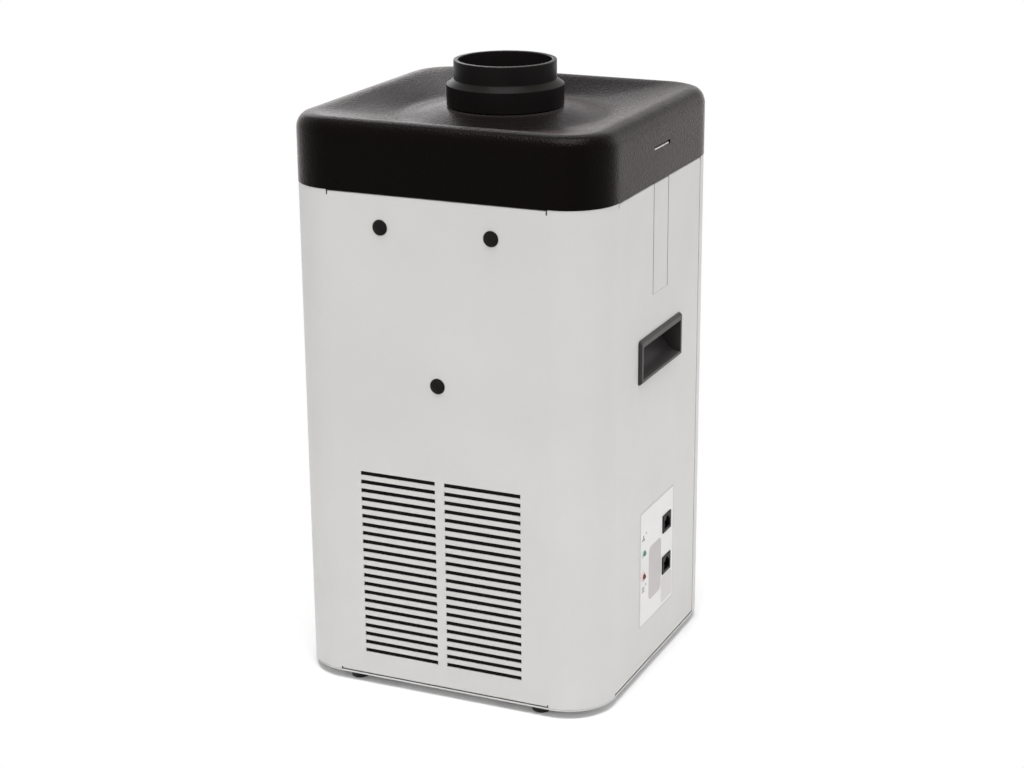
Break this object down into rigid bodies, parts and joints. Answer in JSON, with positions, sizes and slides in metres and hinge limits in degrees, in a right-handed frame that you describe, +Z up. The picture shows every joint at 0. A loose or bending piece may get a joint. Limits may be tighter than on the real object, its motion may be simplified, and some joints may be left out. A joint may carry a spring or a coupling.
{
  "type": "solder fume extractor",
  "caption": "Upright sheet-metal box on rubber feet with a dished plastic lid and duct collar, side grips, a louvred front and a filter over a fan.",
  "frame": {"origin": "on the floor under the centre of the housing, at the bottom of the feet", "axes": "+Z up along the duct axis, +X to the right side with the sockets, -Y out of the louvred front"},
  "size_m": [0.25, 0.2493, 0.458],
  "materials": {
    "wrap_paint": "satin",
    "base_steel": "satin",
    "foot_rubber": "matte",
    "black_moulding": "satin",
    "plug_plastic": "gloss",
    "collar_plastic": "satin",
    "latch_steel": "satin",
    "label_film": "satin",
    "socket_plastic": "gloss",
    "contact_gold": "bright",
    "lamp_green": "clear",
    "lamp_red": "clear",
    "lamp_ring": "gloss",
    "screw_steel": "satin",
    "zinc_sheet": "satin",
    "foam": "matte",
    "casing_steel": "satin",
    "pleat_paper": "matte",
    "carbon": "matte",
    "filter_mat": "matte",
    "impeller_plastic": "satin",
    "rotor_steel": "satin",
    "magnet": "matte",
    "shaft_steel": "ground",
    "motor_alloy": "cast",
    "core_steel": "laminated",
    "board_green": "satin",
    "component_black": "satin",
    "transformer": "satin",
    "capacitor": "gloss",
    "heatsink": "satin"
  },
  "bodies": {
    "housing": {"housing_wrap": "wrap_paint", "base_plate": "base_steel", "base_screws": "screw_steel", "feet": "foot_rubber", "foot_screws": "screw_steel", "hole_plugs": "plug_plastic", "grip_right": "black_moulding", "grip_left": "black_moulding", "filter_shelf": "zinc_sheet", "shelf_gasket": "foam", "inlet_nozzle": "zinc_sheet", "nozzle_screws": "screw_steel", "motor_flange": "motor_alloy", "motor_bearings": "shaft_steel", "stator_core": "core_steel", "fan_bridge": "zinc_sheet", "bridge_screws": "screw_steel", "fan_dampers": "foot_rubber", "exhaust_mat": "foam", "acoustic_foam": "foam", "control_label": "label_film", "signal_sockets": "socket_plastic", "socket_contacts": "contact_gold", "led_green": "lamp_green", "led_red": "lamp_red", "lamp_rings": "lamp_ring", "control_board": "board_green", "board_standoffs": "screw_steel", "board_screws": "screw_steel", "board_chips": "component_black", "rear_panel": "wrap_paint", "rear_panel_screws": "screw_steel", "mains_inlet": "socket_plastic", "inlet_pins": "contact_gold", "rocker_frame": "socket_plastic", "supply_board": "board_green", "supply_posts": "screw_steel", "supply_transformer": "transformer", "supply_capacitors": "capacitor", "supply_heatsink": "heatsink"},
    "lid": {"lid": "black_moulding", "lid_gasket": "foam", "inlet_collar": "collar_plastic", "collar_nut": "collar_plastic"},
    "filter": {"filter_casing": "casing_steel", "carbon_grid": "casing_steel", "carbon_bed": "carbon", "hepa_pleats": "pleat_paper", "prefilter_mat": "filter_mat", "prefilter_grid": "casing_steel"},
    "latch_right": {"latch_right": "latch_steel"},
    "latch_left": {"latch_left": "latch_steel"},
    "rotor": {"impeller": "impeller_plastic", "rotor_cup": "rotor_steel", "rotor_magnets": "magnet", "motor_shaft": "shaft_steel"},
    "rocker": {"rocker_switch": "socket_plastic"},
    "fuse": {"fuse_drawer": "socket_plastic"}
  },
  "joints": [
    {"name": "lid_lift", "type": "slide", "parent": "housing", "child": "lid", "axis": [0, 0, 1], "range_m": [0, 0.3]},
    {"name": "filter_lift", "type": "slide", "parent": "housing", "child": "filter", "axis": [0, 0, 1], "range_m": [0, 0.18]},
    {"name": "latch_right_press", "type": "hinge", "parent": "housing", "child": "latch_right", "pos_m": [0.1225, 0, 0.2966], "axis": [0, -1, 0], "range_deg": [0, 3], "stiffness_Nm_per_rad": 5},
    {"name": "latch_left_press", "type": "hinge", "parent": "housing", "child": "latch_left", "pos_m": [-0.1225, 0, 0.2966], "axis": [0, 1, 0], "range_deg": [0, 3], "stiffness_Nm_per_rad": 5},
    {"name": "fan_spin", "type": "hinge", "parent": "housing", "child": "rotor", "pos_m": [0, 0, 0.21], "axis": [0, 0, 1], "continuous": true},
    {"name": "rocker_tilt", "type": "hinge", "parent": "housing", "child": "rocker", "pos_m": [-0.005, 0.1195, 0.0695], "axis": [-1, 0, 0], "range_deg": [0, 16]},
    {"name": "fuse_slide", "type": "slide", "parent": "housing", "child": "fuse", "axis": [0, 1, 0], "range_m": [0, 0.015]}
  ],
  "couplings": [
    {"joint": "filter_lift", "follows": "lid_lift", "ratio": 0.6}
  ]
}
